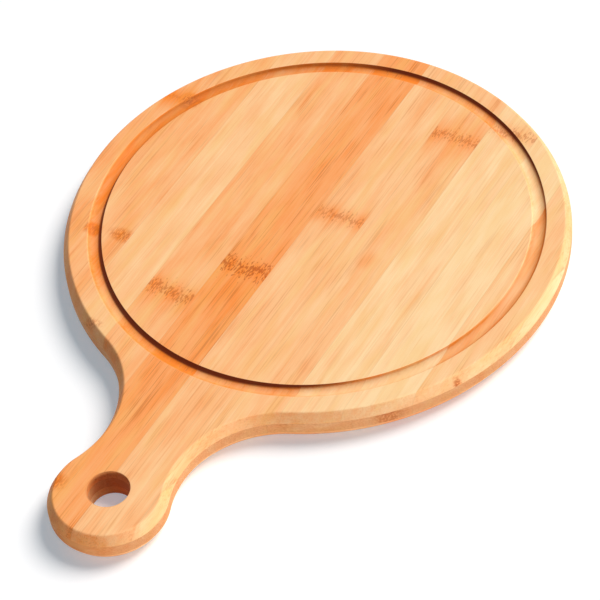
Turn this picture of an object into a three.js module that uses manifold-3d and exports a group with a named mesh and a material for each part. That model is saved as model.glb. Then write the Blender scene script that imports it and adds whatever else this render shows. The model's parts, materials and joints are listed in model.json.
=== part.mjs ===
// Round bamboo serving board with a paddle handle, a juice groove and a hanging hole.
//
// The board is a three-ply panel: two face plies of strips that run along the handle, and a core ply
// of strips that run across it, all glued edge to edge and face to face. The panel is cut to one
// paddle outline, bevelled on both faces down to the glue lines, routed with a round-bottomed groove
// and bored through the handle. Each strip is a separate piece with the share of the outline, bevel,
// groove and hole that falls on it.
//
// Millimetres, +Z up. The origin is the disc's centre on the face that the board lies on, and the
// handle points along -Y.
import * as THREE from "three";
import { mergeVertices } from "three/addons/utils/BufferGeometryUtils.js";
import Module from "manifold-3d";

// Outline
const DISC_RADIUS = 125;
const HANDLE_END_RADIUS = 28;
const HANDLE_REACH = 187; // from the disc's centre to the centre of the handle's round end
const NECK_WIDTH = 45; // at the narrowest place between the disc and the handle's end

// Lay-up
const FACE_PLY = 5;
const CORE_PLY = 6;
const FACE_STRIP_WIDTH = 24.7;
const CORE_STRIP_WIDTH = 20;
const TOP_SEAM_X = -2; // the set seam of the top ply: the others follow a strip's width apart
const BOTTOM_SEAM_X = 12; // the set seam of the bottom ply, away from the top ply's
const CORE_SEAM_Y = 1; // the set seam of the core ply
const LEAST_STRIP = 2; // anything narrower stays on the strip beside it

// Bevels, groove and hole
const BEVEL_WIDTH = 3;
const GROOVE_MARGIN = 15.9; // from the rim to the middle of the groove
const GROOVE_NOSE_RADIUS = 4.2; // radius of the round-nosed cutter
const GROOVE_DEPTH = 2;
const HOLE_RADIUS = 10;
const HOLE_SET_BACK = 1; // the hole lies this much nearer the disc than the centre of the handle's end

// Making
const CHORD_HEIGHT = 0.06; // how far a facet may lie inside the true curve
const OVERCUT = 5; // how far a cutter runs past the surface that it cuts

// Planed and oiled bamboo, from the palest strip to the darkest, and the end grain of the core
const BAMBOO = { pale: "#ffd9a8", straw: "#fbc48c", honey: "#f7b075", amber: "#e99a5c", core: "#cd8f60" };
const TOP_TONES = ["honey", "honey", "pale", "honey", "amber", "straw", "honey", "pale", "pale", "straw"];
const BOTTOM_TONES = ["straw", "honey", "straw", "pale", "honey"];
const CORE_TONES = ["core"];
const BAMBOO_ROUGHNESS = 0.5;

const BOARD_THICKNESS = 2 * FACE_PLY + CORE_PLY;
const GROOVE_RADIUS = DISC_RADIUS - GROOVE_MARGIN;
const HOLE_Y = HOLE_SET_BACK - HANDLE_REACH;
const TIP_Y = -HANDLE_REACH - HANDLE_END_RADIUS;

const wasm = await Module();
wasm.setup();

// A closed three.js geometry as a solid that can be cut.
function solidOf(geometry) {
  geometry.deleteAttribute("normal");
  geometry.deleteAttribute("uv");
  const welded = mergeVertices(geometry);
  return new wasm.Manifold(
    new wasm.Mesh({
      numProp: 3,
      vertProperties: welded.getAttribute("position").array,
      triVerts: new Uint32Array(welded.index.array),
    }),
  );
}

// A finished solid as a named mesh.
function pieceOf(solid, name, tone) {
  const { vertProperties, triVerts } = solid.getMesh();
  const geometry = new THREE.BufferGeometry();
  geometry.setAttribute("position", new THREE.BufferAttribute(new Float32Array(vertProperties), 3));
  geometry.setIndex(new THREE.BufferAttribute(new Uint32Array(triVerts), 1));
  geometry.computeVertexNormals();
  const material = new THREE.MeshStandardMaterial({
    color: BAMBOO[tone],
    roughness: BAMBOO_ROUGHNESS,
    metalness: 0,
    flatShading: true,
  });
  const mesh = new THREE.Mesh(geometry, material);
  mesh.name = name;
  return mesh;
}

// The number of facets that keeps an arc within the chord height.
function facets(radius, angle) {
  const widest = 2 * Math.acos(1 - CHORD_HEIGHT / radius);
  return Math.ceil(Math.abs(angle) / widest);
}

// The points of an arc, from its start to its end, both included.
function arc(x, y, radius, from, to) {
  const clockwise = to < from;
  const curve = new THREE.ArcCurve(x, y, radius, from, to, clockwise);
  return curve.getPoints(facets(radius, to - from));
}

// The hollow on the neck's +X side: an arc that touches the disc and the handle's end and leaves the
// neck its width. A hollow that touches both has its centre at y = level + slope * radius, and the
// width at the neck then gives a quadratic equation for the radius.
function neckHollow() {
  const half = NECK_WIDTH / 2;
  const slope = (HANDLE_END_RADIUS - DISC_RADIUS) / HANDLE_REACH;
  const level = (HANDLE_END_RADIUS ** 2 - DISC_RADIUS ** 2 - HANDLE_REACH ** 2) / (2 * HANDLE_REACH);
  const a = slope ** 2;
  const b = 2 * (half - DISC_RADIUS + slope * level);
  const c = half ** 2 - DISC_RADIUS ** 2 + level ** 2;
  const radius = (-b - Math.sqrt(b ** 2 - 4 * a * c)) / (2 * a);
  return { x: half + radius, y: level + slope * radius, radius };
}

// The paddle: disc, hollow necks and round end, each arc tangent to the next.
function paddleOutline() {
  const neck = neckHollow();
  const leavesDisc = Math.atan2(neck.y, neck.x);
  const meetsEnd = Math.atan2(neck.y + HANDLE_REACH, neck.x);
  const arcs = [
    arc(0, 0, DISC_RADIUS, leavesDisc, Math.PI - leavesDisc),
    arc(-neck.x, neck.y, neck.radius, -leavesDisc, -meetsEnd),
    arc(0, -HANDLE_REACH, HANDLE_END_RADIUS, Math.PI - meetsEnd, 2 * Math.PI + meetsEnd),
    arc(neck.x, neck.y, neck.radius, Math.PI + meetsEnd, Math.PI + leavesDisc),
  ];
  return new THREE.Shape(arcs.flatMap((points) => points.slice(0, -1)));
}

// The whole panel cut to the outline, with a bevel through each face ply.
function bevelledPanel() {
  const panel = new THREE.ExtrudeGeometry(paddleOutline(), {
    depth: CORE_PLY,
    bevelThickness: FACE_PLY,
    bevelSize: BEVEL_WIDTH,
    bevelOffset: -BEVEL_WIDTH,
    bevelSegments: 1,
  });
  panel.translate(0, 0, FACE_PLY);
  return solidOf(panel);
}

// The path of the round-nosed cutter that makes the juice groove.
function grooveCutter() {
  const noseZ = BOARD_THICKNESS - GROOVE_DEPTH + GROOVE_NOSE_RADIUS;
  const topZ = Math.max(noseZ, BOARD_THICKNESS) + OVERCUT;
  const nose = arc(GROOVE_RADIUS, noseZ, GROOVE_NOSE_RADIUS, Math.PI, 2 * Math.PI);
  const outerTop = new THREE.Vector2(GROOVE_RADIUS + GROOVE_NOSE_RADIUS, topZ);
  const innerTop = new THREE.Vector2(GROOVE_RADIUS - GROOVE_NOSE_RADIUS, topZ);
  const profile = [...nose, outerTop, innerTop, nose[0].clone()];
  const ring = new THREE.LatheGeometry(profile, facets(GROOVE_RADIUS, 2 * Math.PI));
  ring.rotateX(Math.PI / 2);
  return solidOf(ring);
}

// The drill that bores the hanging hole.
function holeDrill() {
  const length = BOARD_THICKNESS + 2 * OVERCUT;
  const sides = facets(HOLE_RADIUS, 2 * Math.PI);
  const drill = new THREE.CylinderGeometry(HOLE_RADIUS, HOLE_RADIUS, length, sides);
  drill.rotateX(Math.PI / 2);
  drill.translate(0, HOLE_Y, BOARD_THICKNESS / 2);
  return solidOf(drill);
}

// A box between two opposite corners.
function block(low, high) {
  const box = new THREE.BoxGeometry(1, 1, 1);
  const corners = box.getAttribute("position");
  for (let i = 0; i < corners.count; i++) {
    const x = corners.getX(i) < 0 ? low[0] : high[0];
    const y = corners.getY(i) < 0 ? low[1] : high[1];
    const z = corners.getZ(i) < 0 ? low[2] : high[2];
    corners.setXYZ(i, x, y, z);
  }
  return solidOf(box);
}

// The strips of a ply in order from low to high, each with its name, tone and two edges. They are
// counted from the set seam to each side, and the last on a side runs on past the board.
function layStrips({ ply, seam, width, low, high, lowSide, highSide, tones }) {
  const lowCount = Math.ceil((seam - low - LEAST_STRIP) / width);
  const highCount = Math.ceil((high - seam - LEAST_STRIP) / width);
  const strips = [];
  for (let k = -lowCount; k < highCount; k++) {
    const side = k < 0 ? `${lowSide}_${-k}` : `${highSide}_${k + 1}`;
    strips.push({
      name: `${ply}_strip_${side}`,
      tone: tones[(k + lowCount) % tones.length],
      from: k === -lowCount ? low - OVERCUT : seam + k * width,
      to: k + 1 === highCount ? high + OVERCUT : seam + (k + 1) * width,
    });
  }
  return strips;
}

const X = 0;
const Y = 1;

// Cuts a ply of the board into its strips. The neck can part a strip: what it leaves on the handle's end
// is a piece of its own, or stays on the strip beside it where it would be narrower than the least strip.
function cutStrips(board, axis, zLow, zHigh, strips) {
  for (const strip of strips) {
    const low = [-DISC_RADIUS - OVERCUT, TIP_Y - OVERCUT, zLow];
    const high = [DISC_RADIUS + OVERCUT, DISC_RADIUS + OVERCUT, zHigh];
    low[axis] = strip.from;
    high[axis] = strip.to;
    const bodies = board.intersect(block(low, high)).decompose();
    bodies.sort((a, b) => b.volume() - a.volume());
    strip.main = bodies[0];
    strip.parted = bodies.slice(1);
  }
  strips.forEach((strip, k) => {
    const wide = [];
    for (const body of strip.parted) {
      const { min, max } = body.boundingBox();
      const beside = strips[min[axis] + max[axis] < 0 ? k + 1 : k - 1];
      if (max[axis] - min[axis] < LEAST_STRIP) beside.main = beside.main.add(body);
      else wide.push(body);
    }
    strip.parted = wide;
  });
}

// Adds a ply's strips to the board's group.
function addPly(group, strips) {
  for (const { name, tone, main, parted } of strips) {
    group.add(pieceOf(main, name, tone));
    parted.forEach((body, i) => group.add(pieceOf(body, `${name}_handle_end${i || ""}`, tone)));
  }
}

const topStrips = layStrips({
  ply: "top",
  seam: TOP_SEAM_X,
  width: FACE_STRIP_WIDTH,
  low: -DISC_RADIUS,
  high: DISC_RADIUS,
  lowSide: "left",
  highSide: "right",
  tones: TOP_TONES,
});
const coreStrips = layStrips({
  ply: "core",
  seam: CORE_SEAM_Y,
  width: CORE_STRIP_WIDTH,
  low: TIP_Y,
  high: DISC_RADIUS,
  lowSide: "near",
  highSide: "far",
  tones: CORE_TONES,
});
const bottomStrips = layStrips({
  ply: "bottom",
  seam: BOTTOM_SEAM_X,
  width: FACE_STRIP_WIDTH,
  low: -DISC_RADIUS,
  high: DISC_RADIUS,
  lowSide: "left",
  highSide: "right",
  tones: BOTTOM_TONES,
});

const cutBoard = bevelledPanel().subtract(grooveCutter()).subtract(holeDrill());
const coreZ = FACE_PLY;
const topZ = FACE_PLY + CORE_PLY;
cutStrips(cutBoard, X, topZ, BOARD_THICKNESS + OVERCUT, topStrips);
cutStrips(cutBoard, Y, coreZ, topZ, coreStrips);
cutStrips(cutBoard, X, -OVERCUT, coreZ, bottomStrips);

const servingBoard = new THREE.Group();
addPly(servingBoard, topStrips);
addPly(servingBoard, coreStrips);
addPly(servingBoard, bottomStrips);

export default servingBoard;
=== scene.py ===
"""Round bamboo serving board: a glued three-ply panel of strips, cut to a paddle and lit in a studio."""
import json
import math

import bmesh
import bpy
from bpy.props import FloatProperty, FloatVectorProperty, PointerProperty
from mathutils import Matrix, Vector


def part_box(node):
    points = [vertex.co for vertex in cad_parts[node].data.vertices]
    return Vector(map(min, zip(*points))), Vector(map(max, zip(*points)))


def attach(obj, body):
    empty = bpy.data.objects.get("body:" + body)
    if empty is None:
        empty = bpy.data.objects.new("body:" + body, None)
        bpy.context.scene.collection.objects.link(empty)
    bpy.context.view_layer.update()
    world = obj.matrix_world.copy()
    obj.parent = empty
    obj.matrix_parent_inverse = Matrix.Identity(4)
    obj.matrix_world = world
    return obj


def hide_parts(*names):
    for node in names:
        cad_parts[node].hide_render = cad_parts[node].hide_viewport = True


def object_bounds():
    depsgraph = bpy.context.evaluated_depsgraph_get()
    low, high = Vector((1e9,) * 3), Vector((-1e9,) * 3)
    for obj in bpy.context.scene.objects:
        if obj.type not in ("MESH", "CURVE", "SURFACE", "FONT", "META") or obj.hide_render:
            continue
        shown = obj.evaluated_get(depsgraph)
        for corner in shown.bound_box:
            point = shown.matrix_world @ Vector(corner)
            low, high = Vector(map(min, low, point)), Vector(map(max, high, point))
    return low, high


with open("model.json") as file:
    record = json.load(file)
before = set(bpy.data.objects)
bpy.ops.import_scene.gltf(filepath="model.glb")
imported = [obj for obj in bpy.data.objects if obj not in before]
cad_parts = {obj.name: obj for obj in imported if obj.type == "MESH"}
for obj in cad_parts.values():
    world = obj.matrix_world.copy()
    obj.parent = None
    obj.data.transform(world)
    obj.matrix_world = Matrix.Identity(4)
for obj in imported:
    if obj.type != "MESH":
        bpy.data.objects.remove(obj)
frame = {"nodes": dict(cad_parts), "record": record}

bl_info = {
    "name": "Bamboo Serving Board",
    "version": (1, 0, 0),
    "blender": (4, 5, 0),
    "location": "View3D > Sidebar > Serving Board",
    "description": "Models a laminated bamboo serving board strip by strip and sets it on a studio floor",
    "category": "Object",
}

CAD_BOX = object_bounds()
SLOT_OF = {entry["node"]: entry["material_slot"] for entry in frame["record"]["subparts"]}
MM = 0.001
PANEL_NAME = "glued_panel"
HANDLE_END = "_handle_end"
END_RADIUS = 28 * MM

# The board's axes: X runs across the handle and Y along it.
ACROSS = 0
ALONG = 1

# The axis along which a ply's strips lie side by side, and the number that their grain is counted from.
PLIES = {"top": (ACROSS, 1), "core": (ALONG, 31), "bottom": (ACROSS, 61)}


# Settings that a user can change


def linear(code):
    """A colour written as sRGB hex, as the linear red, green and blue that shaders take."""
    shares = [int(code[i:i + 2], 16) / 255 for i in (1, 3, 5)]
    return [s / 12.92 if s <= 0.04045 else ((s + 0.055) / 1.055) ** 2.4 for s in shares]


def length(name, description, default):
    """A size, in metres."""
    return FloatProperty(name=name, description=description, default=default, unit="LENGTH", precision=5)


def colour(name, description, code):
    """A colour, given as sRGB hex."""
    return FloatVectorProperty(
        name=name, description=description, subtype="COLOR", min=0, max=1, default=linear(code)
    )


def factor(name, description, default):
    """A share between none and all."""
    return FloatProperty(
        name=name, description=description, default=default, min=0, max=1, subtype="FACTOR"
    )


def angle(name, description, default):
    """An angle, given in degrees."""
    return FloatProperty(name=name, description=description, default=math.radians(default), subtype="ANGLE")


class BoardSizes(bpy.types.PropertyGroup):
    """Sizes of the board"""

    disc_radius: length("Disc radius", "From the disc's centre to the rim", CAD_BOX[1].y)
    end_radius: length("Handle end radius", "Radius of the handle's round end", END_RADIUS)
    reach: length("Handle reach", "From the disc's centre to the end's centre", -CAD_BOX[0].y - END_RADIUS)
    neck_width: length("Neck width", "Width at the narrowest place of the handle", 45 * MM)
    bevel_width: length("Bevel width", "How far the bevels reach in from the rim", 3 * MM)
    edge_round: length("Edge rounding", "How far the sanded edges of the rim are rounded", 0.7 * MM)
    lip_round: length("Lip rounding", "How far the lips of the groove and the hole are eased", 0.15 * MM)
    groove_radius: length("Groove radius", "From the disc's centre to the middle of the groove", 109.1 * MM)
    groove_nose: length("Groove nose", "Radius of the round-nosed cutter", 4.2 * MM)
    groove_depth: length("Groove depth", "Depth of the groove below the face", 2 * MM)
    hole_radius: length("Hole radius", "Radius of the hanging hole", 10 * MM)
    hole_reach: length("Hole reach", "From the disc's centre to the hole's centre", 186 * MM)
    facet: length("Facet", "Length of the facets that curves are made of", 1.2 * MM)


class BambooLook(bpy.types.PropertyGroup):
    """Colours of the bamboo, and how deep the tone of each kind of strip is"""

    light: colour("Light", "Bamboo at its palest", "#fed8a2")
    deep: colour("Deep", "Bamboo at its deepest", "#f98728")
    tint: colour("Tint", "Yellower patches of the same wood", "#f6bf6c")
    fibre: colour("Fibre", "Dark fibre bundles", "#cc7434")
    dash: colour("Dash", "The dark dashes of a knuckle", "#b24e10")
    # A dark red-brown, mixed in a little over the groove and the hole, and strongly as painted shade on the
    # groove's walls and lips and the hole's wall where they face away from the key lamp, and on the groove's
    # dark side.
    scorch: colour("Scorch", "Wood that the cutter charred", "#5c1403")
    sawn: colour("Sawn brown", "The core's sawn strips, browner than planed ones", "#b06a3c")
    glue: colour("Glue", "Glue lines between strips", "#a8612f")
    pale: factor("Pale strips", "Depth of tone of the palest strips", 0.1)
    straw: factor("Straw strips", "Depth of tone of the light strips", 0.38)
    honey: factor("Honey strips", "Depth of tone of the middling strips", 0.52)
    amber: factor("Amber strips", "Depth of tone of the darkest strips", 0.74)
    core: factor("Core strips", "Depth of tone of the core's strips", 0.5)


class StageLook(bpy.types.PropertyGroup):
    """Floor, lamps and camera"""

    paper: colour("Paper", "The studio floor, as the board sees it", "#f2f2f2")
    shade: colour("Paper shade", "The studio floor to the eye, before it is lifted to white", "#ece4de")
    lift: colour("Paper lift", "What lifts the floor to white, so that its shadows stay soft", "#7f909a")
    fill_colour: colour("Fill colour", "Colour of the light from all round", "#eff3ff")
    key: factor("Key light", "Share of a level face's light that the key lamp gives", 0.83)
    side: factor("Side light", "Share that the low lamp on the right gives", 0.033)
    fill: factor("Fill light", "Share that comes from all round", 0.15)
    lens: FloatProperty(name="Lens", description="Focal length, mm", default=150, unit="CAMERA")
    azimuth: angle("Azimuth", "Camera's turn round the board", 35.46)
    elevation: angle("Elevation", "Camera's angle above the floor", 47.77)
    roll: angle("Roll", "Camera's turn about its own axis", -6.88)
    distance: length("Distance", "From the camera to the point that it looks at", 1189.2 * MM)
    target: FloatVectorProperty(
        name="Target",
        description="The point on the board that the camera looks at",
        subtype="TRANSLATION",
        default=(20.03 * MM, -49.22 * MM, CAD_BOX[1].z),
    )


# Modelling helpers


def take(obj):
    """Makes obj the only selected object and the active one."""
    bpy.ops.object.select_all(action="DESELECT")
    obj.select_set(True)
    bpy.context.view_layer.objects.active = obj


def copy_of(obj, name):
    """A copy of an object, with its own mesh."""
    take(obj)
    bpy.ops.object.duplicate()
    made = bpy.context.object
    made.name = name
    made.data.name = name
    return made


def finish_with(obj, kind, **settings):
    """Adds a modifier to obj and applies it."""
    take(obj)
    modifier = obj.modifiers.new(kind.lower(), kind)
    for name, value in settings.items():
        setattr(modifier, name, value)
    bpy.ops.object.modifier_apply(modifier=modifier.name)


def pick_faces(obj, wanted):
    """Selects, in edit mode, the faces that wanted says yes to, and no others."""
    bpy.ops.mesh.select_mode(type="FACE")
    bpy.ops.mesh.select_all(action="DESELECT")
    shape = bmesh.from_edit_mesh(obj.data)
    for face in shape.faces:
        face.select_set(wanted(face))
    bmesh.update_edit_mesh(obj.data)


def saw(obj, point, facing):
    """Cuts through the whole of obj and keeps the side that facing points to, with its cut face closed."""
    take(obj)
    bpy.ops.object.mode_set(mode="EDIT")
    bpy.ops.mesh.select_all(action="SELECT")
    bpy.ops.mesh.bisect(plane_co=point, plane_no=facing, use_fill=True, clear_inner=True)
    bpy.ops.object.mode_set(mode="OBJECT")


# The glued panel

# Sides of the round cutters, and facets of each eased edge.
NOSE_SIDES = 48
DRILL_SIDES = 96
EASED_FACETS = 4

# Edges sharper than these angles are eased, in degrees: the rim's, and the lips of the groove and the hole.
RIM_ANGLE = 20
LIP_ANGLE = 25

# Points nearer to each other than this share of a facet are merged.
MERGED_SHARE = 0.01

# A face counts as level where its normal has at least this upright share.
LEVEL = 0.99


def neck_hollow(sizes):
    """Centre and radius of the hollow beside the neck.

    It touches the disc and the handle's end, so its centre lies at y = level + slope * radius, and the
    width that it leaves the neck then gives a quadratic equation for the radius.
    """
    half = sizes.neck_width / 2
    disc, end, reach = sizes.disc_radius, sizes.end_radius, sizes.reach
    slope = (end - disc) / reach
    level = (end ** 2 - disc ** 2 - reach ** 2) / (2 * reach)
    a = slope ** 2
    b = 2 * (half - disc + slope * level)
    c = half ** 2 - disc ** 2 + level ** 2
    radius = (-b - math.sqrt(b ** 2 - 4 * a * c)) / (2 * a)
    return half + radius, level + slope * radius, radius


def spin_outline(sizes, height):
    """The paddle's outline: one point at the far rim, spun through arcs that each touch the next."""
    neck_x, neck_y, neck_radius = neck_hollow(sizes)
    leaves_disc = math.atan2(neck_y, neck_x)
    meets_end = math.atan2(neck_y + sizes.reach, neck_x)
    round_disc = (0, 0, sizes.disc_radius, math.pi / 2 - leaves_disc)
    into_neck = leaves_disc - meets_end
    arcs = [
        round_disc,
        (neck_x, neck_y, neck_radius, into_neck),
        (0, -sizes.reach, sizes.end_radius, math.pi + 2 * meets_end),
        (-neck_x, neck_y, neck_radius, into_neck),
        round_disc,
    ]
    bpy.ops.object.select_all(action="DESELECT")
    bpy.ops.mesh.primitive_plane_add(size=sizes.facet, location=(0, sizes.disc_radius, height))
    bpy.ops.object.transform_apply(location=True)
    panel = bpy.context.object
    bpy.ops.object.mode_set(mode="EDIT")
    bpy.ops.mesh.select_all(action="SELECT")
    bpy.ops.mesh.merge(type="CENTER")
    for x, y, radius, turn in arcs:
        steps = math.ceil(abs(turn) * radius / sizes.facet)
        bpy.ops.mesh.spin(steps=steps, angle=turn, center=(x, y, height), axis=(0, 0, 1))
    bpy.ops.mesh.select_all(action="SELECT")
    bpy.ops.mesh.remove_doubles(threshold=sizes.facet * MERGED_SHARE)
    return panel


def raise_panel(panel, sizes, low, high):
    """Fills the outline, extrudes it through the core and insets both faces to their bevels."""
    bpy.ops.mesh.select_all(action="SELECT")
    bpy.ops.mesh.edge_face_add()
    bpy.ops.mesh.extrude_region_move(TRANSFORM_OT_translate={"value": (0, 0, high - low)})
    bpy.ops.mesh.select_all(action="SELECT")
    bpy.ops.mesh.normals_make_consistent(inside=False)
    for up, ply in ((1, CAD_BOX[1].z - high), (-1, low - CAD_BOX[0].z)):
        pick_faces(panel, lambda face: face.normal.z * up > LEVEL)
        bpy.ops.mesh.inset(thickness=sizes.bevel_width, depth=ply, use_even_offset=True)
    bpy.ops.object.mode_set(mode="OBJECT")


def groove_cutter(sizes):
    """A round profile spun about the disc's axis."""
    nose_z = CAD_BOX[1].z - sizes.groove_depth + sizes.groove_nose
    bpy.ops.object.select_all(action="DESELECT")
    bpy.ops.mesh.primitive_circle_add(
        vertices=NOSE_SIDES,
        radius=sizes.groove_nose,
        location=(sizes.groove_radius, 0, nose_z),
        rotation=(math.pi / 2, 0, 0),
    )
    bpy.ops.object.transform_apply(location=True, rotation=True)
    cutter = bpy.context.object
    steps = math.ceil(2 * math.pi * sizes.groove_radius / sizes.facet)
    bpy.ops.object.mode_set(mode="EDIT")
    bpy.ops.mesh.select_all(action="SELECT")
    bpy.ops.mesh.spin(steps=steps, angle=2 * math.pi, center=(0, 0, 0), axis=(0, 0, 1))
    bpy.ops.mesh.select_all(action="SELECT")
    bpy.ops.mesh.remove_doubles(threshold=sizes.facet * MERGED_SHARE)
    bpy.ops.mesh.normals_make_consistent(inside=False)
    bpy.ops.object.mode_set(mode="OBJECT")
    return cutter


def hole_drill(sizes):
    """A drill that runs past both faces."""
    bpy.ops.object.select_all(action="DESELECT")
    bpy.ops.mesh.primitive_cylinder_add(
        vertices=DRILL_SIDES,
        radius=sizes.hole_radius,
        depth=2 * CAD_BOX[1].z,
        location=(0, -sizes.hole_reach, CAD_BOX[1].z / 2),
    )
    bpy.ops.object.transform_apply(location=True)
    return bpy.context.object


def ease_edges(panel, width, least_angle):
    """Rounds each edge of the panel that is sharper than an angle."""
    finish_with(
        panel,
        "BEVEL",
        width=width,
        segments=EASED_FACETS,
        limit_method="ANGLE",
        angle_limit=math.radians(least_angle),
        use_clamp_overlap=False,
    )


class BOARD_OT_panel(bpy.types.Operator):
    """Shape the glued panel that the strips are parts of: outline, bevels, groove, hole and sanded edges"""

    bl_idname = "board.panel"
    bl_label = "Glued panel"

    def execute(self, context):
        sizes = context.scene.board_sizes
        low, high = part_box("core_strip_near_1")
        panel = spin_outline(sizes, low.z)
        panel.name = PANEL_NAME
        raise_panel(panel, sizes, low.z, high.z)
        ease_edges(panel, sizes.edge_round, RIM_ANGLE)
        for cutter in (groove_cutter(sizes), hole_drill(sizes)):
            finish_with(panel, "BOOLEAN", operation="DIFFERENCE", solver="EXACT", object=cutter)
            bpy.data.objects.remove(cutter)
        ease_edges(panel, sizes.lip_round, LIP_ANGLE)
        return {"FINISHED"}


# Bamboo

# Sockets of Mix nodes, whose kinds share their sockets' names: a colour Mix's, then a vector Mix's.
MIX_AMOUNT = 0
MIX_UNDER = 6
MIX_OVER = 7
MIX_RESULT = 2
WAY_UNDER = 4
WAY_OVER = 5
WAY_RESULT = 1

# The patterns of the fibres: width across and run along them in millimetres, and detail.
# Single fibre bundles are about 0.3 mm wide, too fine to show, so silk and lines are drawn coarser.
PATTERNS = {
    "clouds": (9, 28, 3),
    "bands": (4, 110, 2),
    "silk": (0.6, 30, 2),
    "lines": (0.6, 36, 1),
    "tint": (6, 32, 2),
    "sway": (6, 300, 1),
    "dashes": (0.75, 2.2, 1),
    "specks": (0.5, 16, 0),
}

# How far each strip's patterns are shifted from those of the strip before, in millimetres.
GRAIN_SHIFT = (37.7, 211.3, 17.9)

# How far each pattern swings a strip's depth of tone.
SWINGS = {"clouds": 0.28, "bands": 0.24, "silk": 0.21}

# The share of these swings that each kind of strip shows.
LIVELINESS = {"pale": 1.0, "straw": 1.0, "honey": 1.0, "amber": 0.7, "core": 1.0}

# How much deeper or paler single strips are than the rest of their kind.
SHADES = {
    "top_strip_left_5": 0.08,
    "top_strip_left_4": 0.02,
    "top_strip_left_3": 0.24,
    "top_strip_right_1": 0.03,
    "top_strip_right_2": -0.13,
    "top_strip_right_2_handle_end": -0.13,
    "top_strip_right_3": 0.03,
    "top_strip_right_4": -0.06,
    "top_strip_right_5": -0.08,
    "top_strip_right_6": -0.34,
    # The handle end's core strips are deeper, partly as painted shade on the handle's end.
    "core_strip_near_11": 0.25,
    "core_strip_near_10": 0.2,
    "core_strip_near_9": 0.2,
    "core_strip_near_4": -0.1,
    "core_strip_near_3": -0.1,
    # The handle's two middle bottom strips are paler as painted light: the floor's bounce on the lower bevel
    # of the handle's end.
    "bottom_strip_left_1": -0.2,
    "bottom_strip_right_1": -0.3,
}

# The knuckles of the culm: where one crosses a strip, in millimetres along it, how strongly its dashes and
# its stain show, and how far the stain runs to the near and the far side of it.
KNUCKLES = {
    "top_strip_left_5": (45, 0.3, 0.35, 14, 14),
    "top_strip_left_2": (-72, 0.7, 0.2, 18, 12),
    "top_strip_left_1": (-43, 0.95, 0.1, 60, 26),
    "top_strip_right_1": (7, 0.55, 0.2, 12, 12),
    "top_strip_right_2": (80, 0.6, 0.36, 26, 24),
    "top_strip_right_3": (95, 0.55, 0.25, 10, 12),
    "bottom_strip_left_5": (-20, 0.6, 0.15, 16, 14),
    "bottom_strip_left_3": (62, 0.8, 0.2, 24, 14),
    "bottom_strip_left_2": (-58, 0.7, 0.15, 16, 24),
    "bottom_strip_left_1": (25, 0.9, 0.2, 30, 16),
    "bottom_strip_right_1": (-96, 0.6, 0.12, 18, 14),
    "bottom_strip_right_2": (70, 0.8, 0.25, 20, 24),
    "bottom_strip_right_4": (-10, 0.7, 0.15, 14, 20),
}

# Single stains: where they lie on the board, half their width and length, in millimetres, how deep they
# are and how strongly dashes show in them.
STAINS = {
    "top_strip_left_5": [(-102, 45, 6, 7, 0.35, 0.35)],
    "top_strip_left_4": [
        (-80, -51, 11, 6, 0.25, 0.5),
        (-97, -53, 7, 6, 0.4, 0.4),
        (-99, 45, 6, 7, 0.35, 0.35),
    ],
    "top_strip_left_3": [(-62, -105, 8, 3, 0.1, 0.5)],
    "top_strip_left_1": [(-24, -193, 8, 7, 0.25, 0.4)],
    "top_strip_right_2": [(36, -13, 8, 9, 0.14, 0.0)],
    "top_strip_right_5": [(110, -59, 3, 3, 0.3, 0.75)],
    "core_strip_near_5": [(88, -87, 16, 9, 0.1, 0.6)],
}


def add(tree, kind, inputs=None, **settings):
    """Adds a node with its settings, links or sets its inputs, and gives back its outputs."""
    node = tree.nodes.new(kind)
    for name, value in settings.items():
        setattr(node, name, value)
    for socket, value in (inputs or {}).items():
        if isinstance(value, bpy.types.NodeSocket):
            tree.links.new(value, node.inputs[socket])
        else:
            node.inputs[socket].default_value = value
    return node.outputs


# Where the yellower patches and the dark bundles lie in their noises, and how strongly the patches and the
# core's brown streaks show. These and the ranges further on are inputs of Map Range nodes.
YELLOW_PATCH = {"From Min": 0.45, "From Max": 0.7, "To Max": 0.33}
DARK_BUNDLE = {"From Min": 0.82, "From Max": 1.0}
SAWN_STREAK = {"To Min": 0.15, "To Max": 0.6}

# How strongly the dark bundles show in each kind of strip, and how far the clouds bunch them.
BUNDLES = {"pale": 0.14, "straw": 0.3, "honey": 0.32, "amber": 0.62, "core": 0.4}
BUNCHING = 0.5


def fibres(tree, patterns, look, kind):
    """Clouds, bands and silk swing the tone along the strip, and thin dark bundles run through it."""
    deeper = [(patterns[name], 2 * swing * LIVELINESS[kind]) for name, swing in SWINGS.items()]
    patch = add(tree, "ShaderNodeMapRange", {"Value": patterns["tint"], **YELLOW_PATCH})[0]
    bunched = {0: patterns["clouds"], 1: BUNCHING, 2: patterns["lines"]}
    bunched = add(tree, "ShaderNodeMath", bunched, operation="MULTIPLY_ADD")[0]
    bundle = {"Value": bunched, **DARK_BUNDLE, "To Max": BUNDLES[kind]}
    bundle = add(tree, "ShaderNodeMapRange", bundle)[0]
    marks = [(look.tint, patch), (look.fibre, bundle)]
    if kind == "core":
        streak = add(tree, "ShaderNodeMapRange", {"Value": patterns["silk"], **SAWN_STREAK})[0]
        marks.append((look.sawn, streak))
    return deeper, marks


# How far a knuckle's row sways and where it fades out and is full, in millimetres, and how much deeper it is.
ROW_SWAY = 6.0
ROW_FADE = {"From Min": 8.0, "From Max": 1.0}
ROW_DEPTH = 0.14

# Where the dashes of a row lie in their noise, how fast they thin out in each millimetre away from the row's
# middle, and how strongly they show.
ROW_DASH = {"From Min": 0.38, "From Max": 0.52}
DASH_THINNING = 0.03
DASH_SHARE = 0.75


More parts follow.
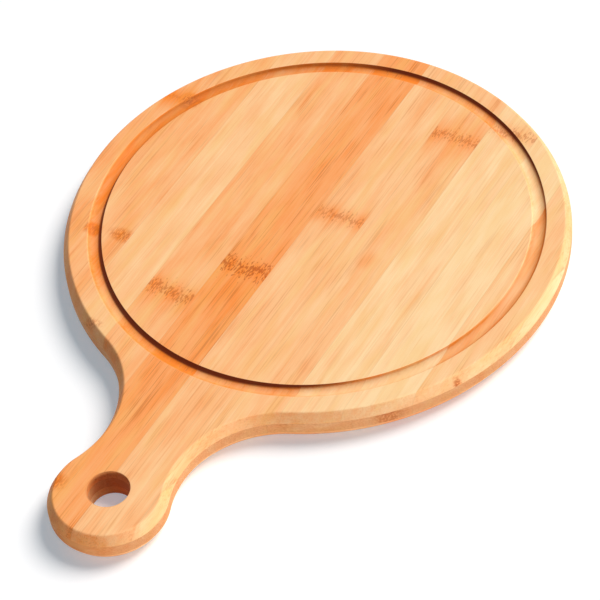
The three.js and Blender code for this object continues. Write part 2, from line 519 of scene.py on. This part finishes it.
def knuckle(tree, patterns, look, along, at, strength, depth, near, far):
    """A stain on both sides of a wavy row of dark dashes, close in its middle and thin at its edges."""
    swayed = {0: patterns["sway"], 1: ROW_SWAY, 2: along}
    swayed = add(tree, "ShaderNodeMath", swayed, operation="MULTIPLY_ADD")[0]
    off = add(tree, "ShaderNodeMath", {0: swayed, 1: at + ROW_SWAY / 2}, operation="SUBTRACT")[0]
    below = {"Value": off, "From Min": -near, "From Max": 0.0}
    below = add(tree, "ShaderNodeMapRange", below, interpolation_type="SMOOTHSTEP")[0]
    above = {"Value": off, "From Min": far, "From Max": 0.0}
    above = add(tree, "ShaderNodeMapRange", above, interpolation_type="SMOOTHSTEP")[0]
    glow = add(tree, "ShaderNodeMath", {0: below, 1: above}, operation="MULTIPLY")[0]
    away = add(tree, "ShaderNodeMath", {0: off}, operation="ABSOLUTE")[0]
    row = {"Value": away, **ROW_FADE}
    row = add(tree, "ShaderNodeMapRange", row, interpolation_type="SMOOTHSTEP")[0]
    thinned = {0: away, 1: -DASH_THINNING / strength, 2: patterns["dashes"]}
    thinned = add(tree, "ShaderNodeMath", thinned, operation="MULTIPLY_ADD")[0]
    dashes = {"Value": thinned, **ROW_DASH, "To Max": DASH_SHARE * strength}
    dashes = add(tree, "ShaderNodeMapRange", dashes)[0]
    return [(glow, depth), (row, ROW_DEPTH * strength)], [(look.dash, dashes)]


# A stain's soft edge, in shares of its half width and length, and where its dashes lie in their noise.
STAIN_EDGE = {"From Min": 1.0, "From Max": 0.2}
STAIN_DASH = {"From Min": 0.4, "From Max": 0.56}


def stain(tree, patterns, look, board, x, y, half_width, half_length, depth, dashed):
    """A single soft stain with a few dashes in it."""
    place = add(tree, "ShaderNodeVectorMath", {0: board, 1: (-x, -y, 0)}, operation="ADD")[0]
    place = {0: place, 1: (1 / half_width, 1 / half_length, 0)}
    place = add(tree, "ShaderNodeVectorMath", place, operation="MULTIPLY")[0]
    away = add(tree, "ShaderNodeVectorMath", {0: place}, operation="LENGTH")["Value"]
    glow = {"Value": away, **STAIN_EDGE}
    glow = add(tree, "ShaderNodeMapRange", glow, interpolation_type="SMOOTHSTEP")[0]
    dashes = {"Value": patterns["dashes"], **STAIN_DASH, "To Max": dashed}
    dashes = add(tree, "ShaderNodeMapRange", dashes)[0]
    dashes = add(tree, "ShaderNodeMath", {0: dashes, 1: glow}, operation="MULTIPLY")[0]
    return [(glow, depth)], [(look.dash, dashes)]


# How far the normal leans along the fibres where they start to be cut across and where they fully are.
CUT_ACROSS = {"From Min": 0.3, "From Max": 0.9}

# The depth of tone that cut ends of the faces' strips and of the core's come near to, and how near.
FACE_END_DEPTH = 0.75
CORE_END_DEPTH = 0.45
END_SHARE = 0.75

# Where the specks of cut fibres lie in their noise, and how strongly they show.
END_SPECK = {"From Min": 0.5, "From Max": 0.7, "To Max": 0.2}


def cut_ends(tree, patterns, look, normal, fibre_axis, kind, depth):
    """Where the fibres are cut across, strips differ less in tone and the bundles show as specks."""
    lean = {0: normal, 1: fibre_axis}
    lean = add(tree, "ShaderNodeVectorMath", lean, operation="DOT_PRODUCT")["Value"]
    lean = add(tree, "ShaderNodeMath", {0: lean}, operation="ABSOLUTE")[0]
    cut = add(tree, "ShaderNodeMapRange", {"Value": lean, **CUT_ACROSS})[0]
    specks = add(tree, "ShaderNodeMapRange", {"Value": patterns["specks"], **END_SPECK})[0]
    specks = add(tree, "ShaderNodeMath", {0: cut, 1: specks}, operation="MULTIPLY")[0]
    end_depth = CORE_END_DEPTH if kind == "core" else FACE_END_DEPTH
    return [(cut, END_SHARE * (end_depth - depth))], [(look.fibre, specks)]


# On this side of the disc, towards -X and +Y, the whole groove is painted deeper and browner as shade,
# and its walls take less of their own painted shade. It starts and is full at these shares of the groove's
# radius.
DARK_SIDE = (-0.77, 0.64, 0)
DARK_SIDE_FROM = 0.77
DARK_SIDE_FULL = 0.94

# Where the masks of the groove's and the hole's deeper tone and painted shade fade out and where they are
# full, in
# millimetres: past the groove's middle for the face inside its outer lip, below the groove's floor, and past
# the hole's wall. The groove's two halves blend over this far on each side of its middle.
LIP_REACH = (6, 4.5)
FLOOR_REACH = (1, 0.5)
BORE_REACH = (0.5, 0.1)
HALF_BLEND = 1


def cutter_masks(tree, board, sizes):
    """Masks of the grooved face up to its outer lip, the groove's outer half, its dark side with painted
    shade and the hole.
    """
    groove = sizes.groove_radius / MM
    floor = (CAD_BOX[1].z - sizes.groove_depth) / MM
    hole = sizes.hole_radius / MM
    flat = add(tree, "ShaderNodeVectorMath", {0: board, 1: (1, 1, 0)}, operation="MULTIPLY")[0]
    reach = add(tree, "ShaderNodeVectorMath", {0: flat}, operation="LENGTH")["Value"]
    inside = {"Value": reach, "From Min": groove + LIP_REACH[0], "From Max": groove + LIP_REACH[1]}
    inside = add(tree, "ShaderNodeMapRange", inside)[0]
    height = add(tree, "ShaderNodeSeparateXYZ", {0: board})["Z"]
    above = {"Value": height, "From Min": floor - FLOOR_REACH[0], "From Max": floor - FLOOR_REACH[1]}
    above = add(tree, "ShaderNodeMapRange", above)[0]
    face = add(tree, "ShaderNodeMath", {0: inside, 1: above}, operation="MULTIPLY")[0]
    outer = {"Value": reach, "From Min": groove - HALF_BLEND, "From Max": groove + HALF_BLEND}
    outer = add(tree, "ShaderNodeMapRange", outer)[0]
    toward = {0: flat, 1: DARK_SIDE}
    toward = add(tree, "ShaderNodeVectorMath", toward, operation="DOT_PRODUCT")["Value"]
    side = {"Value": toward, "From Min": DARK_SIDE_FROM * groove, "From Max": DARK_SIDE_FULL * groove}
    side = add(tree, "ShaderNodeMapRange", side)[0]
    away = {0: flat, 1: (0, -sizes.hole_reach / MM, 0)}
    away = add(tree, "ShaderNodeVectorMath", away, operation="DISTANCE")["Value"]
    bored = {"Value": away, "From Min": hole + BORE_REACH[0], "From Max": hole + BORE_REACH[1]}
    bored = add(tree, "ShaderNodeMapRange", bored)[0]
    return face, outer, side, bored


# The groove's inner and outer walls take painted shade where they face these ways, away from the key lamp.
# The outer one's is shorter, so only the steeper part of that wall is painted dark.
SHADED_INNER_WAY = (-0.42, -0.91, 0)
SHADED_OUTER_WAY = (-0.08, -0.8, 0)

# The lean towards these ways at which the painted shade starts and is full, and its share away from and on
# the dark side.
SHADE_LEAN = {"From Min": 0.28, "From Max": 0.46}
SHADE_SHARE = {"To Min": 0.91, "To Max": 0.3}


def painted_wall_shade(tree, look, normal, masks):
    """The groove's walls, painted dark as shade where they face away from the key lamp."""
    face, outer, side, _ = masks
    way = {MIX_AMOUNT: outer, WAY_UNDER: SHADED_INNER_WAY, WAY_OVER: SHADED_OUTER_WAY}
    way = add(tree, "ShaderNodeMix", way, data_type="VECTOR")[WAY_RESULT]
    lean = add(tree, "ShaderNodeVectorMath", {0: normal, 1: way}, operation="DOT_PRODUCT")["Value"]
    faced = add(tree, "ShaderNodeMapRange", {"Value": lean, **SHADE_LEAN})[0]
    most = add(tree, "ShaderNodeMapRange", {"Value": side, **SHADE_SHARE})[0]
    wall_shade = add(tree, "ShaderNodeMath", {0: faced, 1: most}, operation="MULTIPLY")[0]
    wall_shade = add(tree, "ShaderNodeMath", {0: wall_shade, 1: face}, operation="MULTIPLY")[0]
    return [], [(look.scorch, wall_shade)]


# Strips of this depth of tone deepen fully in the groove and its walls' painted shade, paler ones less, down
# to a least share.
BROWNING_DEPTH = 0.3
LEAST_BROWNING = 0.4

# How far below the face the groove's browning starts and is full, in millimetres.
SUNK_FROM = 0.2
SUNK_FULL = 0.9

# The lean towards the inner wall's shaded way at which walls and lips start to take painted shade, so that
# those facing the key lamp take none, and the upright share of the normal at which a slope counts as a wall
# and as a lip.
WALL_SHADE_LEAN = {"From Min": -0.45, "From Max": -0.05}
WALL_TILT = {"From Min": 0.97, "From Max": 0.72}
LIP_TILT = {"From Min": 0.8, "From Max": 0.6}

# How much deeper in tone each place is, and how much dark brown goes in: all over the groove, and as painted
# shade on its dark side, walls and lips. The hole's wall is darkened a little all round and, as painted
# shade, more where it leans away from the key lamp.
DEEPER_AND_SHADE = {"floor": 0.32, "wall": 0.2, "side": 0.15, "lip": 0.7}
DARK_BROWN_AND_SHADE = {"floor": 0.06, "side": 0.12, "lip": 0.2}
BORE_SHADE = {"From Min": -0.6, "From Max": 0.5, "To Min": 0.05, "To Max": 0.42}


def groove_tone_and_shade(tree, look, board, normal, masks, depth):
    """The groove deeper in tone, the palest strips least, with painted shade on its dark side and on the
    groove's walls and lips and the hole's wall where they face away from the key lamp.
    """
    face, _, side, bored = masks
    top = CAD_BOX[1].z / MM
    ripe = min(1.0, max(LEAST_BROWNING, depth / BROWNING_DEPTH))
    height = add(tree, "ShaderNodeSeparateXYZ", {0: board})["Z"]
    sunk = {"Value": height, "From Min": top - SUNK_FROM, "From Max": top - SUNK_FULL}
    sunk = add(tree, "ShaderNodeMapRange", sunk)[0]
    grooved = add(tree, "ShaderNodeMath", {0: sunk, 1: face}, operation="MULTIPLY")[0]
    dark_side_groove = add(tree, "ShaderNodeMath", {0: side, 1: grooved}, operation="MULTIPLY")[0]
    lean = {0: normal, 1: SHADED_INNER_WAY}
    lean = add(tree, "ShaderNodeVectorMath", lean, operation="DOT_PRODUCT")["Value"]
    faces_away = add(tree, "ShaderNodeMapRange", {"Value": lean, **WALL_SHADE_LEAN})[0]
    upright = add(tree, "ShaderNodeSeparateXYZ", {0: normal})["Z"]
    wall = add(tree, "ShaderNodeMapRange", {"Value": upright, **WALL_TILT})[0]
    wall = add(tree, "ShaderNodeMath", {0: wall, 1: faces_away}, operation="MULTIPLY")[0]
    wall = add(tree, "ShaderNodeMath", {0: wall, 1: grooved}, operation="MULTIPLY")[0]
    lip = add(tree, "ShaderNodeMapRange", {"Value": upright, **LIP_TILT})[0]
    lip = add(tree, "ShaderNodeMath", {0: lip, 1: faces_away}, operation="MULTIPLY")[0]
    lip = add(tree, "ShaderNodeMath", {0: lip, 1: face}, operation="MULTIPLY")[0]
    bore_shade = add(tree, "ShaderNodeMapRange", {"Value": lean, **BORE_SHADE})[0]
    scorch = add(tree, "ShaderNodeMath", {0: bored, 1: bore_shade}, operation="MULTIPLY")[0]
    darkened = [
        (grooved, DARK_BROWN_AND_SHADE["floor"] * ripe),
        (dark_side_groove, DARK_BROWN_AND_SHADE["side"]),
        (lip, DARK_BROWN_AND_SHADE["lip"]),
    ]
    for place, share in darkened:
        inputs = {0: place, 1: share, 2: scorch}
        scorch = add(tree, "ShaderNodeMath", inputs, operation="MULTIPLY_ADD")[0]
    deeper = [
        (grooved, DEEPER_AND_SHADE["floor"] * ripe),
        (wall, DEEPER_AND_SHADE["wall"] * ripe),
        (dark_side_groove, DEEPER_AND_SHADE["side"]),
        (lip, DEEPER_AND_SHADE["lip"]),
    ]
    return deeper, [(look.scorch, scorch)]


# How wide a glue line is at a strip's edge, in millimetres, and how strongly it shows.
GLUE_WIDTH = 0.3
GLUE_SHARE = 0.12


def glue_lines(tree, look, across, mid, half):
    """Thin brown lines of glue where the strip meets its neighbours."""
    off = add(tree, "ShaderNodeMath", {0: across, 1: mid}, operation="SUBTRACT")[0]
    off = add(tree, "ShaderNodeMath", {0: off}, operation="ABSOLUTE")[0]
    line = {"Value": off, "From Min": half - GLUE_WIDTH, "From Max": half, "To Max": GLUE_SHARE}
    line = add(tree, "ShaderNodeMapRange", line)[0]
    return [], [(look.glue, line)]


# The finish: how rough the silk is, how far its fibres stand up, and the gloss and IOR of oiled wood.
SILK_ROUGHNESS = {"To Min": 0.5, "To Max": 0.7}
RELIEF_SHARE = 0.15
RELIEF_HEIGHT = 0.1 * MM
OILED_GLOSS = 0.2
OILED_IOR = 1.47


def bamboo(context, node, seed, axis, mid, half):
    """Planed, glued and oiled bamboo.

    Long straight fibre bundles give a silky streak along the strip and dark specks where it is cut
    across. A knuckle of the culm shows as a ragged row of short dark dashes in an orange stain. Thin
    glue lines show at the strip's edges. The groove is deeper in tone, and painted shade darkens its dark
    side and the groove's walls and lips and the hole's wall where they face away from the key lamp.
    """
    sizes, look = context.scene.board_sizes, context.scene.bamboo_look
    kind = SLOT_OF[node].removeprefix("bamboo_")
    material = bpy.data.materials.new("planed_bamboo_" + node)
    material.use_nodes = True
    tree = material.node_tree
    tree.nodes.clear()

    # Millimetres on the board, and the same along the fibres of this strip alone
    fibre_axis = (1, 0, 0) if axis == ALONG else (0, 1, 0)
    place = add(tree, "ShaderNodeTexCoord")["Object"]
    board = add(tree, "ShaderNodeVectorMath", {0: place, "Scale": 1 / MM}, operation="SCALE")[0]
    turn = (0, 0, math.pi / 2 * fibre_axis[0])
    shift = [step * seed for step in GRAIN_SHIFT]
    grain = add(tree, "ShaderNodeMapping", {"Vector": board, "Rotation": turn, "Location": shift})[0]
    patterns = {}
    for name, (width, run, detail) in PATTERNS.items():
        drawn = {"Vector": grain, "Scale": (1 / width, 1 / run, 1 / width)}
        drawn = add(tree, "ShaderNodeMapping", drawn)[0]
        noise = {"Vector": drawn, "Scale": 1.0, "Detail": detail}
        patterns[name] = add(tree, "ShaderNodeTexNoise", noise)["Fac"]

    # What each feature adds to the depth of tone, and the coloured marks that it leaves
    depth = getattr(look, kind) + SHADES.get(node, 0.0)
    normal = add(tree, "ShaderNodeNewGeometry")["Normal"]
    spot = add(tree, "ShaderNodeSeparateXYZ", {0: board})
    masks = cutter_masks(tree, board, sizes)
    features = [fibres(tree, patterns, look, kind)]
    if node in KNUCKLES:
        features.append(knuckle(tree, patterns, look, spot[1 - axis], *KNUCKLES[node]))
    for mark in STAINS.get(node, []):
        features.append(stain(tree, patterns, look, board, *mark))
    features.append(cut_ends(tree, patterns, look, normal, fibre_axis, kind, depth))
    features.append(groove_tone_and_shade(tree, look, board, normal, masks, depth))
    features.append(painted_wall_shade(tree, look, normal, masks))
    features.append(glue_lines(tree, look, spot[axis], mid, half))

    # A noise is a half on average, so its swing is taken off once and added up to twice
    depth -= LIVELINESS[kind] * sum(SWINGS.values())
    for deeper, _ in features:
        for amount, share in deeper:
            inputs = {0: amount, 1: share, 2: depth}
            depth = add(tree, "ShaderNodeMath", inputs, operation="MULTIPLY_ADD")[0]
    tones = {MIX_AMOUNT: depth, MIX_UNDER: (*look.light, 1.0), MIX_OVER: (*look.deep, 1.0)}
    shade = add(tree, "ShaderNodeMix", tones, data_type="RGBA")[MIX_RESULT]
    for _, marks in features:
        for tone, amount in marks:
            inputs = {MIX_AMOUNT: amount, MIX_UNDER: shade, MIX_OVER: (*tone, 1.0)}
            shade = add(tree, "ShaderNodeMix", inputs, data_type="RGBA")[MIX_RESULT]

    relief = {"Strength": RELIEF_SHARE, "Distance": RELIEF_HEIGHT, "Height": patterns["silk"]}
    surface = {
        "Base Color": shade,
        "Roughness": add(tree, "ShaderNodeMapRange", {"Value": patterns["silk"], **SILK_ROUGHNESS})[0],
        "Normal": add(tree, "ShaderNodeBump", relief)[0],
        "Specular IOR Level": OILED_GLOSS,
        "IOR": OILED_IOR,
    }
    shader = add(tree, "ShaderNodeBsdfPrincipled", surface)[0]
    add(tree, "ShaderNodeOutputMaterial", {"Surface": shader})
    return material


# Strips

# Edges no further apart than this lie in one place.
SAME_PLACE = 0.1 * MM

# Edges sharper than this stay sharp in the shading, in degrees.
SHARP_ANGLE = 35


def ordered(ply, axis):
    """The names of a ply's strips from low to high, without the remnants on the handle's end."""
    names = [n for n in frame["nodes"] if n.startswith(ply) and not n.endswith(HANDLE_END)]
    return sorted(names, key=lambda n: sum(corner[axis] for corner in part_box(n)))


def seams_between(names, axis):
    """The seams of a ply: of two strips that meet, the one further out never holds a neighbour's remnant."""
    seams = []
    for lower, upper in zip(names, names[1:]):
        lower_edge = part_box(lower)[1][axis]
        seams.append(lower_edge if lower_edge < 0 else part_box(upper)[0][axis])
    return seams


def saw_disc_side(obj, point, facing, waist):
    """Saws only the disc's side of the waist, so that what lies on the handle's end stays on."""
    take(obj)
    bpy.ops.object.mode_set(mode="EDIT")
    bpy.ops.mesh.select_all(action="SELECT")
    bpy.ops.mesh.bisect(plane_co=(0, waist, 0), plane_no=(0, 1, 0))
    pick_faces(obj, lambda face: face.calc_center_median().y > waist)
    bpy.ops.mesh.bisect(plane_co=point, plane_no=facing, use_fill=True, clear_inner=True)
    bpy.ops.object.mode_set(mode="OBJECT")


def sawn_strip(sheet, node, axis, seams, waist):
    """Saws a strip from a copy of the sheet, between its two seams, of which an outermost strip has one.

    A strip that reaches past a seam also holds what lies there on the handle's end.
    """
    piece = copy_of(sheet, "bamboo_" + node)
    for seam, reached, side in zip(seams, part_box(node), (1, -1)):
        if seam is None:
            continue
        point, facing = Vector(), Vector()
        point[axis], facing[axis] = seam, side
        if (seam - reached[axis]) * side > SAME_PLACE:
            saw_disc_side(piece, point, facing, waist)
        else:
            saw(piece, point, facing)
    return piece


def set_piece(context, piece, node, seed, axis, mid, half):
    """Gives a sawn strip its shading and finish and puts it in the place of its CAD node."""
    take(piece)
    bpy.ops.object.mode_set(mode="EDIT")
    bpy.ops.mesh.select_all(action="SELECT")
    bpy.ops.mesh.delete_loose()
    bpy.ops.object.mode_set(mode="OBJECT")
    bpy.ops.object.shade_smooth_by_angle(angle=math.radians(SHARP_ANGLE))
    finish_with(piece, "WEIGHTED_NORMAL", keep_sharp=True)
    piece.data.materials.clear()
    piece.data.materials.append(bamboo(context, node, seed, axis, mid, half))
    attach(piece, "root")
    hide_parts(node)


def lay_ply(context, ply):
    """Saws a copy of the panel down to a ply, and the ply into its strips."""
    axis, first_seed = PLIES[ply]
    sizes = context.scene.board_sizes
    waist = neck_hollow(sizes)[1]
    names = ordered(ply, axis)
    seams = [None, *seams_between(names, axis), None]
    low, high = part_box(names[0])
    sheet = copy_of(bpy.data.objects[PANEL_NAME], ply)
    if low.z > CAD_BOX[0].z + SAME_PLACE:
        saw(sheet, (0, 0, low.z), (0, 0, 1))
    if high.z < CAD_BOX[1].z - SAME_PLACE:
        saw(sheet, (0, 0, high.z), (0, 0, -1))
    for k, node in enumerate(names):
        between = seams[k:k + 2]
        piece = sawn_strip(sheet, node, axis, between, waist)
        edges = [end[axis] if seam is None else seam for seam, end in zip(between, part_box(node))]
        mid = sum(edges) / 2 / MM
        half = (edges[1] - edges[0]) / 2 / MM
        seed = first_seed + k
        if node + HANDLE_END in frame["nodes"]:
            remnant = copy_of(piece, "bamboo_" + node + HANDLE_END)
            saw(remnant, (0, waist, 0), (0, -1, 0))
            set_piece(context, remnant, node + HANDLE_END, seed, axis, mid, half)
        beside_neck = edges[0] * edges[1] > 0 and min(abs(e) for e in edges) > sizes.neck_width / 2
        if axis == ACROSS and beside_neck:
            saw(piece, (0, waist, 0), (0, 1, 0))
        set_piece(context, piece, node, seed, axis, mid, half)
    bpy.data.objects.remove(sheet)


class BOARD_OT_top_strips(bpy.types.Operator):
    """Saw the top ply into its strips, which run along the handle"""

    bl_idname = "board.top_strips"
    bl_label = "Top strips"

    def execute(self, context):
        lay_ply(context, "top")
        return {"FINISHED"}


class BOARD_OT_core_strips(bpy.types.Operator):
    """Saw the core ply into its strips, which run across the handle"""

    bl_idname = "board.core_strips"
    bl_label = "Core strips"

    def execute(self, context):
        lay_ply(context, "core")
        return {"FINISHED"}


class BOARD_OT_bottom_strips(bpy.types.Operator):
    """Saw the bottom ply into its strips, which run along the handle"""

    bl_idname = "board.bottom_strips"
    bl_label = "Bottom strips"

    def execute(self, context):
        lay_ply(context, "bottom")
        return {"FINISHED"}


# Stage

# The floor's width and how far it lies under the board, in metres.
FLOOR_WIDTH = 8
FLOOR_GAP = 0.1 * MM

# The lamps' bearings, counted from +X, their elevations and their spreads, in degrees.
KEY_LAMP = (67, 48, 34)
SIDE_LAMP = (-30, 4, 7)


def seen_straight(tree):
    """One for rays from the eye and for what is mirrored or seen through something, and else none."""
    rays = add(tree, "ShaderNodeLightPath")
    seen = rays["Is Camera Ray"]
    for more in ("Is Glossy Ray", "Is Transmission Ray"):
        seen = add(tree, "ShaderNodeMath", {0: seen, 1: rays[more]}, operation="MAXIMUM")[0]
    return seen


def paper_floor(look):
    """Matt white paper: evenly white to the eye, with a soft grey where the board keeps light off."""
    material = bpy.data.materials.new("matt_white_paper")
    material.use_nodes = True
    tree = material.node_tree
    tree.nodes.clear()
    seen = seen_straight(tree)
    tones = {MIX_AMOUNT: seen, MIX_UNDER: (*look.paper, 1.0), MIX_OVER: (*look.shade, 1.0)}
    tone = add(tree, "ShaderNodeMix", tones, data_type="RGBA")[MIX_RESULT]
    sheet = add(tree, "ShaderNodeBsdfDiffuse", {"Color": tone})[0]
    glow = add(tree, "ShaderNodeEmission", {"Color": (*look.lift, 1.0), "Strength": seen})[0]
    shader = add(tree, "ShaderNodeAddShader", {0: sheet, 1: glow})[0]
    add(tree, "ShaderNodeOutputMaterial", {"Surface": shader})
    return material


def lay_floor(look):
    """A wide sheet just under the board."""
    bpy.ops.object.select_all(action="DESELECT")
    bpy.ops.mesh.primitive_plane_add(size=FLOOR_WIDTH, location=(0, 0, -FLOOR_GAP))
    bpy.ops.object.transform_apply(location=True)
    floor = bpy.context.object
    floor.name = "floor"
    floor.data.materials.append(paper_floor(look))


def hang_lamp(name, share, bearing, elevation, spread):
    """A far softbox. Its share is that of a level face's light."""
    bpy.ops.object.select_all(action="DESELECT")
    bpy.ops.object.light_add(type="SUN", location=(0, 0, 1))
    lamp = bpy.context.object
    lamp.name = name
    a, e = math.radians(bearing), math.radians(elevation)
    toward = Vector((math.cos(a) * math.cos(e), math.sin(a) * math.cos(e), math.sin(e)))
    lamp.rotation_euler = toward.to_track_quat("Z", "Y").to_euler()
    lamp.data.energy = share * math.pi / math.sin(e)
    lamp.data.angle = math.radians(spread)


def light_room(look):
    """A white room to the eye and in reflections, and a soft even fill for the board."""
    world = bpy.data.worlds.new("white_room")
    world.use_nodes = True
    tree = world.node_tree
    tree.nodes.clear()
    seen = seen_straight(tree)
    tones = {MIX_AMOUNT: seen, MIX_UNDER: (*look.fill_colour, 1.0), MIX_OVER: (1.0, 1.0, 1.0, 1.0)}
    tone = add(tree, "ShaderNodeMix", tones, data_type="RGBA")[MIX_RESULT]
    strength = add(tree, "ShaderNodeMapRange", {"Value": seen, "To Min": look.fill, "To Max": 1.0})[0]
    shader = add(tree, "ShaderNodeBackground", {"Color": tone, "Strength": strength})[0]
    add(tree, "ShaderNodeOutputWorld", {"Surface": shader})
    bpy.context.scene.world = world


def set_camera(look):
    """The camera, at its angles round the point that it looks at."""
    a, e = look.azimuth, look.elevation
    back = Vector((math.sin(a) * math.cos(e), -math.cos(a) * math.cos(e), math.sin(e)))
    bpy.ops.object.select_all(action="DESELECT")
    bpy.ops.object.camera_add(location=Vector(look.target) + back * look.distance)
    camera = bpy.context.object
    turned = back.to_track_quat("Z", "Y").to_matrix() @ Matrix.Rotation(look.roll, 3, "Z")
    camera.rotation_euler = turned.to_euler()
    camera.data.lens = look.lens
    bpy.context.scene.camera = camera


class BOARD_OT_stage(bpy.types.Operator):
    """Lay the white floor, hang the lamps and set the camera"""

    bl_idname = "board.stage"
    bl_label = "Stage"

    def execute(self, context):
        look = context.scene.board_stage
        lay_floor(look)
        light_room(look)
        hang_lamp("key_softbox", look.key, *KEY_LAMP)
        hang_lamp("side_softbox", look.side, *SIDE_LAMP)
        set_camera(look)
        context.scene.view_settings.view_transform = "Standard"
        return {"FINISHED"}


class VIEW3D_PT_serving_board(bpy.types.Panel):
    """Sizes, colours and steps of the serving board"""

    bl_label = "Serving Board"
    bl_idname = "VIEW3D_PT_serving_board"
    bl_space_type = "VIEW_3D"
    bl_region_type = "UI"
    bl_category = "Serving Board"

    def draw(self, context):
        column = self.layout.column(align=True)
        for operator in OPERATORS:
            column.operator(operator.bl_idname)
        for group in (context.scene.board_sizes, context.scene.bamboo_look, context.scene.board_stage):
            column = self.layout.column(align=True)
            for name in group.__annotations__:
                column.prop(group, name)


GROUPS = {"board_sizes": BoardSizes, "bamboo_look": BambooLook, "board_stage": StageLook}
OPERATORS = [
    BOARD_OT_panel,
    BOARD_OT_top_strips,
    BOARD_OT_core_strips,
    BOARD_OT_bottom_strips,
    BOARD_OT_stage,
]


def register():
    """Registers the classes and gives each scene the settings."""
    for made in (*GROUPS.values(), *OPERATORS, VIEW3D_PT_serving_board):
        bpy.utils.register_class(made)
    for name, group in GROUPS.items():
        setattr(bpy.types.Scene, name, PointerProperty(type=group))


def unregister():
    """Takes the settings and the classes away again."""
    for name in GROUPS:
        delattr(bpy.types.Scene, name)
    for made in (VIEW3D_PT_serving_board, *reversed(OPERATORS), *reversed(GROUPS.values())):
        bpy.utils.unregister_class(made)


def main():
    """Shapes the panel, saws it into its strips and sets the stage."""
    register()
    bpy.ops.board.panel()
    bpy.ops.board.top_strips()
    bpy.ops.board.core_strips()
    bpy.ops.board.bottom_strips()
    bpy.data.objects.remove(bpy.data.objects[PANEL_NAME])
    bpy.ops.board.stage()


if __name__ == "__main__":
    main()
